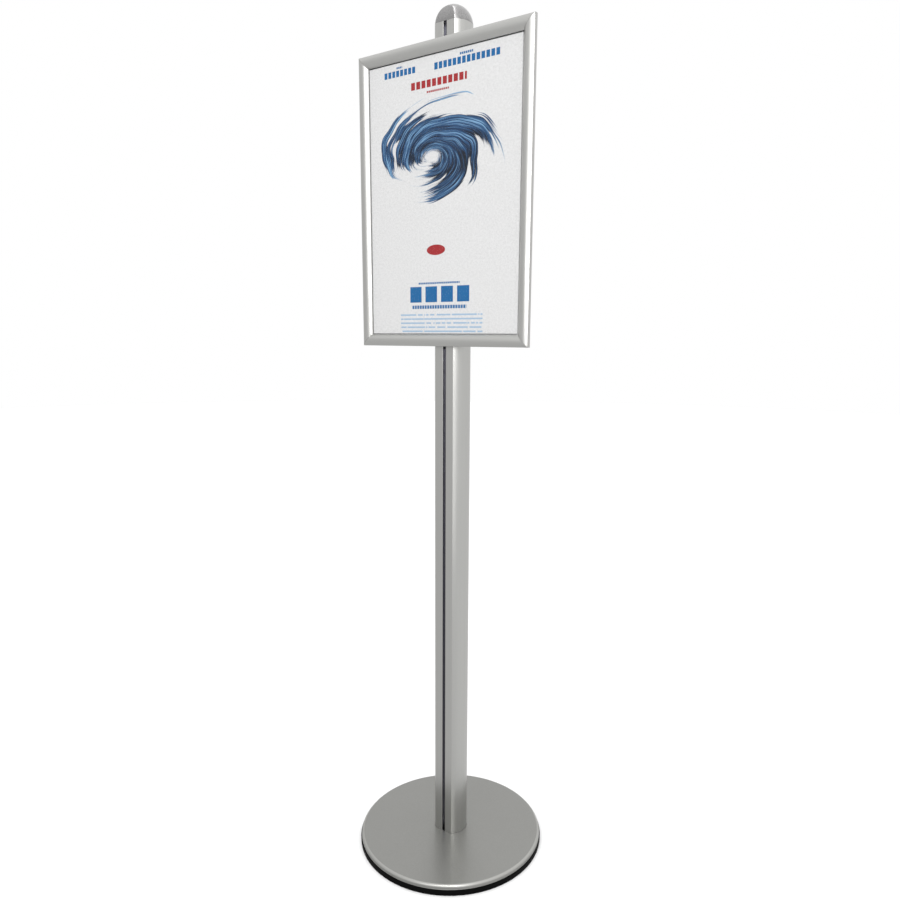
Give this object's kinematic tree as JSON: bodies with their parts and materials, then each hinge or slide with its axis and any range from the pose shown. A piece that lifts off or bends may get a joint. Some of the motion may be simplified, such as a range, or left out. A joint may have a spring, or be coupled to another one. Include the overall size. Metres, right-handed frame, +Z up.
{
  "type": "sign stand",
  "caption": "Floor-standing sign stand: a round weighted foot, a slotted aluminium post with a domed cap, and a portrait snap frame for an A2 sheet, clamped at eye level.",
  "frame": {"origin": "on the floor, at the axis of the post and the centre of the round foot", "axes": "+Z up along the post, -Y towards the viewer in front of the sheet, +X to that viewer's right"},
  "size_m": [0.46, 0.46, 1.941],
  "materials": {
    "ring_rubber": "satin black",
    "plate_steel": "black primer",
    "spacer_board": "raw particle board",
    "cover_silver": "satin silver",
    "zinc_steel": "bright zinc",
    "spring_steel": "tempered",
    "post_anodised": "satin anodised",
    "cap_silver": "fine silver lacquer",
    "rail_anodised": "satin anodised",
    "snap_anodised": "satin anodised",
    "panel_plastic": "matt off-white",
    "poster_paper": "matt print",
    "clear_sheet": "clear anti-glare plastic",
    "block_plastic": "black"
  },
  "bodies": {
    "stand": {"base_ring": "ring_rubber", "base_plate": "plate_steel", "spacer_disc": "spacer_board", "base_cover": "cover_silver", "base_bolts": "zinc_steel", "post": "post_anodised", "post_cap": "cap_silver"},
    "sign_frame": {"rail_top": "rail_anodised", "rail_bottom": "rail_anodised", "rail_left": "rail_anodised", "rail_right": "rail_anodised", "corner_keys": "zinc_steel", "corner_rivets": "zinc_steel", "snap_springs": "spring_steel", "back_panel": "panel_plastic", "poster": "poster_paper", "cover_sheet": "clear_sheet", "block_upper": "block_plastic", "block_lower": "block_plastic", "nut_upper": "zinc_steel", "nut_lower": "zinc_steel", "clamp_screw_upper": "zinc_steel", "clamp_screw_lower": "zinc_steel"},
    "top_snap_rail": {"snap_top": "snap_anodised"},
    "bottom_snap_rail": {"snap_bottom": "snap_anodised"},
    "left_snap_rail": {"snap_left": "snap_anodised"},
    "right_snap_rail": {"snap_right": "snap_anodised"}
  },
  "joints": [
    {"name": "frame_height", "type": "slide", "parent": "stand", "child": "sign_frame", "axis": [0, 0, 1], "range_m": [-1.2, 0.025]},
    {"name": "top_rail_hinge", "type": "hinge", "parent": "sign_frame", "child": "top_snap_rail", "pos_m": [0, -0.04956, 1.8647], "axis": [-1, 0, 0], "range_deg": [0, 90]},
    {"name": "bottom_rail_hinge", "type": "hinge", "parent": "sign_frame", "child": "bottom_snap_rail", "pos_m": [0, -0.04956, 1.2413], "axis": [1, 0, 0], "range_deg": [0, 90]},
    {"name": "left_rail_hinge", "type": "hinge", "parent": "sign_frame", "child": "left_snap_rail", "pos_m": [-0.2237, -0.04956, 1.553], "axis": [0, 0, -1], "range_deg": [0, 90]},
    {"name": "right_rail_hinge", "type": "hinge", "parent": "sign_frame", "child": "right_snap_rail", "pos_m": [0.2237, -0.04956, 1.553], "axis": [0, 0, 1], "range_deg": [0, 90]}
  ]
}
